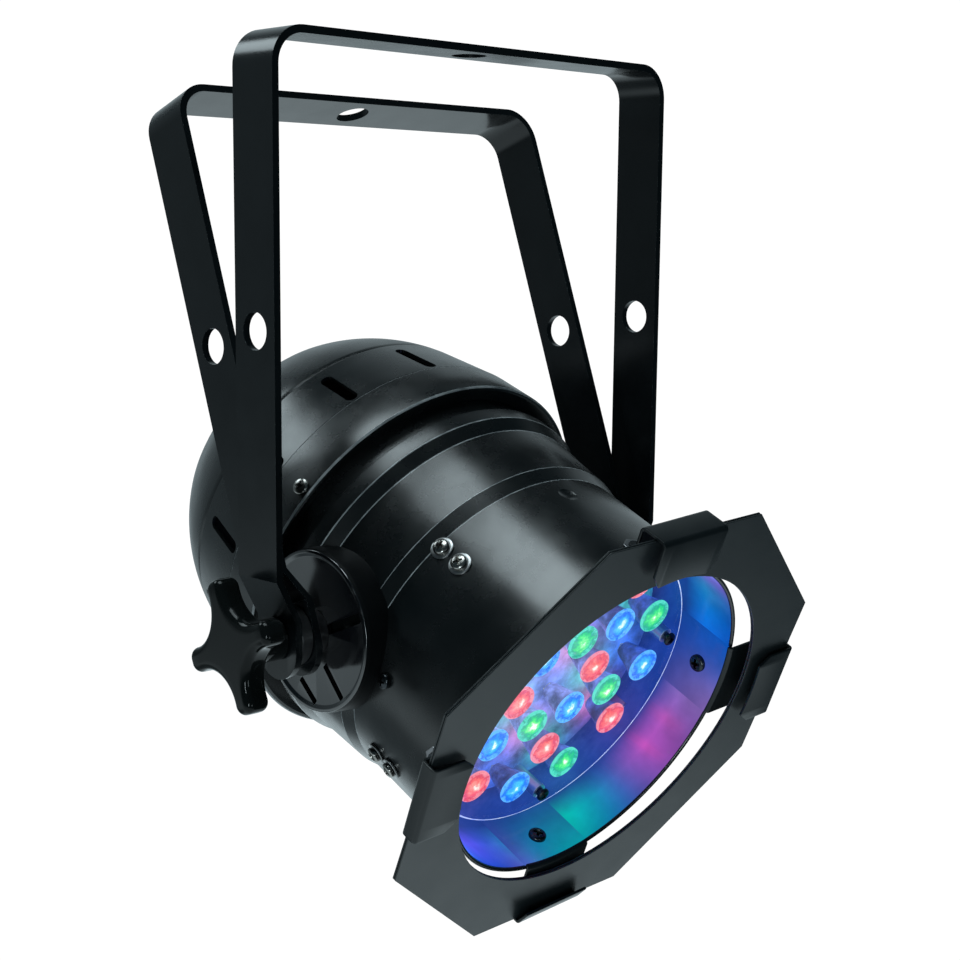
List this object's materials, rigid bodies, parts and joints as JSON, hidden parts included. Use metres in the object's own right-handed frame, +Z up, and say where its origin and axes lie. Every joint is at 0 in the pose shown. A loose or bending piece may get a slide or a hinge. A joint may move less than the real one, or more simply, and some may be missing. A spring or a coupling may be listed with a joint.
{
  "type": "par can light",
  "caption": "Stage par can with coloured light-emitting lenses, octagonal colour frame in clips, two flat-bar yokes clamped by star knobs, and a rear panel with sockets.",
  "frame": {"origin": "middle of the hanging hole in the front yoke's top strap", "axes": "+Z up along the hanging bolt, X along the tilt axis, the beam points towards -Y and down"},
  "size_m": [0.207, 0.2273, 0.2999],
  "materials": {
    "yoke_paint": "semi-gloss black paint on flat bar",
    "can_paint": "semi-gloss black paint on spun sheet",
    "hub_paint": "semi-gloss black paint on pressed sheet",
    "bolt_steel": "dark zinc",
    "black_nylon": "moulded nylon",
    "knob_plastic": "polished black plastic",
    "frame_paint": "satin black paint on thin sheet",
    "clip_paint": "satin black paint on bent sheet",
    "bright_screw": "bright zinc",
    "dark_screw": "blackened",
    "clear_plate": "clear, with a bright sawn edge",
    "spacer_metal": "turned",
    "lens_red": "clear moulded lens over a red light",
    "lens_green": "clear moulded lens over a green light",
    "lens_blue": "clear moulded lens over a blue light",
    "white_board": "white solder mask",
    "emitter": "encapsulated",
    "heat_sink_aluminium": "extruded",
    "supply_case": "folded sheet",
    "green_board": "solder mask",
    "panel_paint": "satin black paint",
    "display_plastic": "dark red window",
    "button_plastic": "moulded",
    "socket_plastic": "moulded",
    "pin_metal": "plated",
    "tab_metal": "satin"
  },
  "bodies": {
    "front_yoke": {"front_yoke": "yoke_paint"},
    "can": {"front_barrel": "can_paint", "rear_housing": "can_paint", "rear_shell": "can_paint", "side_hub_left": "hub_paint", "side_hub_right": "hub_paint", "pivot_bolt_left": "bolt_steel", "pivot_bolt_right": "bolt_steel", "pivot_spacers": "black_nylon", "friction_washers": "bolt_steel", "gel_frame_front": "frame_paint", "gel_frame_rear": "frame_paint", "clip_right": "clip_paint", "clip_top": "clip_paint", "clip_left": "clip_paint", "clip_bottom": "clip_paint", "clip_screws": "bright_screw", "clip_nuts": "bright_screw", "lens_plate": "clear_plate", "lens_screws": "bright_screw", "lens_spacers": "spacer_metal", "lenses_red": "lens_red", "lenses_green": "lens_green", "lenses_blue": "lens_blue", "led_board": "white_board", "led_emitters": "emitter", "heat_sink": "heat_sink_aluminium", "module_brackets": "heat_sink_aluminium", "barrel_screws": "bright_screw", "barrel_washers": "bright_screw", "side_screws": "dark_screw", "joint_screws": "bright_screw", "chassis_plate": "heat_sink_aluminium", "power_supply": "supply_case", "control_board": "green_board", "board_standoffs": "spacer_metal", "rear_panel": "panel_paint", "panel_screws": "bright_screw", "display_module": "display_plastic", "button_switches": "green_board", "data_in_socket": "socket_plastic", "data_in_pins": "pin_metal", "data_out_socket": "socket_plastic", "power_inlet": "socket_plastic", "inlet_blades": "pin_metal", "fuse_holder": "socket_plastic", "safety_eye": "tab_metal"},
    "rear_yoke": {"rear_yoke": "yoke_paint"},
    "knob_left": {"knob_left": "knob_plastic"},
    "knob_right": {"knob_right": "knob_plastic"},
    "menu_button_1": {"menu_button_1": "button_plastic"},
    "menu_button_2": {"menu_button_2": "button_plastic"},
    "menu_button_3": {"menu_button_3": "button_plastic"},
    "menu_button_4": {"menu_button_4": "button_plastic"},
    "release_tab": {"release_tab": "tab_metal"},
    "fuse_cap": {"fuse_cap": "socket_plastic"}
  },
  "joints": [
    {"name": "can_tilt", "type": "hinge", "parent": "front_yoke", "child": "can", "pos_m": [0, 0, -0.19005], "axis": [1, 0, 0], "range_deg": [-70, 90]},
    {"name": "rear_yoke_swing", "type": "hinge", "parent": "front_yoke", "child": "rear_yoke", "pos_m": [0, 0, -0.19005], "axis": [-1, 0, 0], "range_deg": [-19.65, 100]},
    {"name": "knob_left_turn", "type": "hinge", "parent": "can", "child": "knob_left", "pos_m": [-0.1, 0, -0.19005], "axis": [-1, 0, 0], "range_deg": [0, 180]},
    {"name": "knob_right_turn", "type": "hinge", "parent": "can", "child": "knob_right", "pos_m": [0.1, 0, -0.19005], "axis": [1, 0, 0], "range_deg": [0, 180]},
    {"name": "menu_button_1_press", "type": "slide", "parent": "can", "child": "menu_button_1", "axis": [0, -0.9085, -0.4179], "range_m": [0, 0.0008], "stiffness_N_per_m": 300},
    {"name": "menu_button_2_press", "type": "slide", "parent": "can", "child": "menu_button_2", "axis": [0, -0.9085, -0.4179], "range_m": [0, 0.0008], "stiffness_N_per_m": 300},
    {"name": "menu_button_3_press", "type": "slide", "parent": "can", "child": "menu_button_3", "axis": [0, -0.9085, -0.4179], "range_m": [0, 0.0008], "stiffness_N_per_m": 300},
    {"name": "menu_button_4_press", "type": "slide", "parent": "can", "child": "menu_button_4", "axis": [0, -0.9085, -0.4179], "range_m": [0, 0.0008], "stiffness_N_per_m": 300},
    {"name": "release_tab_press", "type": "slide", "parent": "can", "child": "release_tab", "axis": [0, -0.9085, -0.4179], "range_m": [0, 0.0014], "stiffness_N_per_m": 200},
    {"name": "fuse_cap_turn", "type": "hinge", "parent": "can", "child": "fuse_cap", "pos_m": [0.0305, 0.10004, -0.16825], "axis": [0, 0.9085, 0.4179], "range_deg": [0, 90]}
  ]
}
